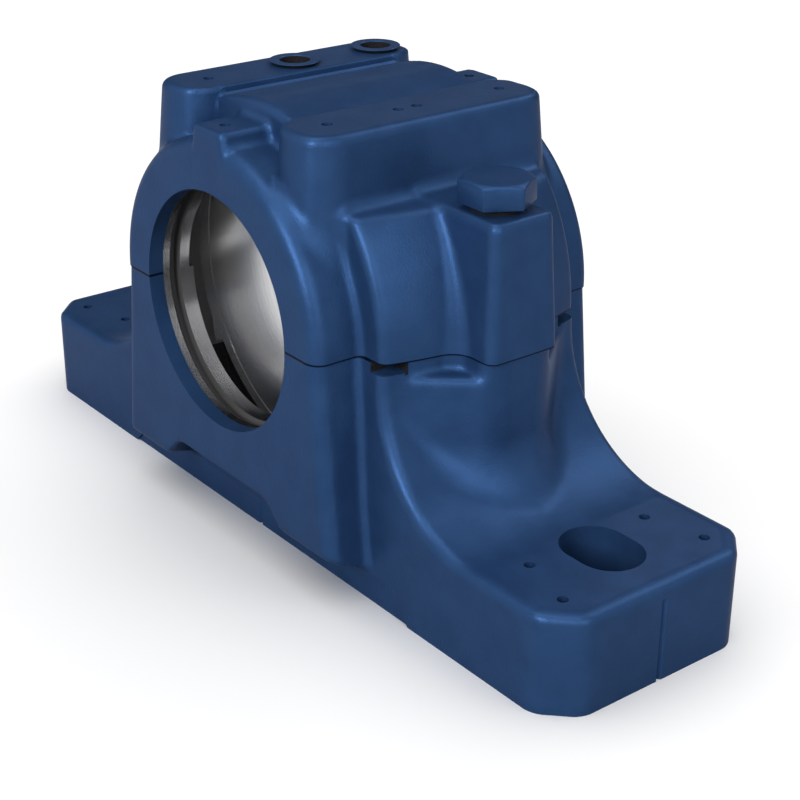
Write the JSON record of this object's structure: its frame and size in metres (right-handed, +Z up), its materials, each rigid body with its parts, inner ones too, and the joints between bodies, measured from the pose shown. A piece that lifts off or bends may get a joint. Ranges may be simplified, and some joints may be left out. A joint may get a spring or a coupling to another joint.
{
  "type": "split plummer block housing",
  "caption": "Split cast plummer block housing: slotted base, bolted cap with raised pads, bored shaft passages and open bearing seat.",
  "frame": {"origin": "middle of the underside of the base", "axes": "+X along the base, +Y along the shaft line away from the front passage, +Z up"},
  "size_m": [0.255, 0.095, 0.1267],
  "materials": {
    "painted_casting": "blue paint over a fine cast surface, bores machined bare",
    "painted_steel": "blue paint",
    "ground_steel": "ground"
  },
  "bodies": {
    "root": {"housing_base": "painted_casting", "housing_cap": "painted_casting", "cap_bolt_right": "painted_steel", "cap_bolt_left": "painted_steel", "dowel_pin_front": "ground_steel", "dowel_pin_rear": "ground_steel", "grease_plug_middle": "painted_steel", "grease_plug_rear": "painted_steel"}
  },
  "joints": []
}
